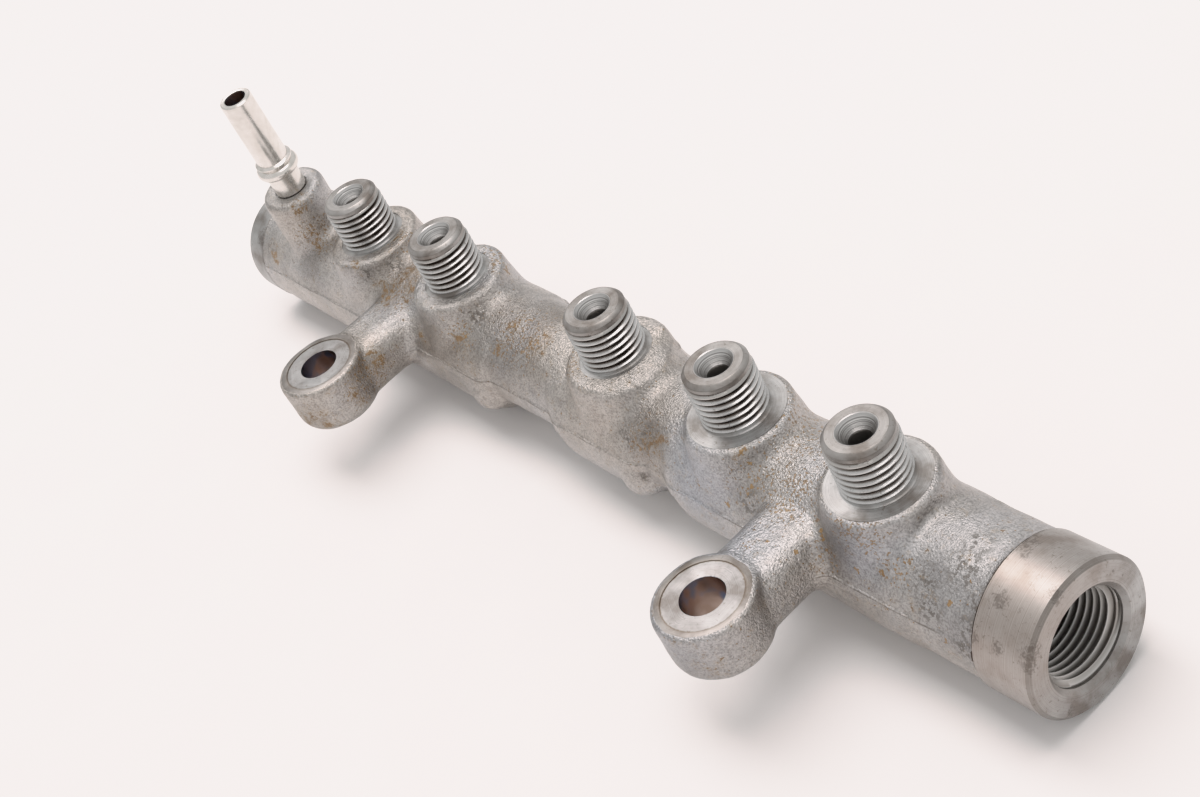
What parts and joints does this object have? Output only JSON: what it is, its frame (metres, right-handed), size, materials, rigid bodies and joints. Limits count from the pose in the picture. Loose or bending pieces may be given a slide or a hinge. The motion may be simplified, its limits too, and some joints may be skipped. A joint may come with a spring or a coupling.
{
  "type": "fuel rail",
  "caption": "Forged steel common fuel rail with threaded outlet nipples along the top, side mounting lugs, a threaded port in each end and a pressed-in return spigot.",
  "frame": {"origin": "midway between the two lug bolt holes, on the plane that the lugs seat on", "axes": "+X along the rail towards the sensor port, +Z along the outlet nipples, away from the engine, +Y from the lugs to the rail"},
  "size_m": [0.2654, 0.0584, 0.0708],
  "materials": {
    "forged_steel": "shot-blasted",
    "plated_steel": "bright plated"
  },
  "bodies": {
    "root": {"rail_body": "forged_steel", "return_spigot": "plated_steel"}
  },
  "joints": []
}
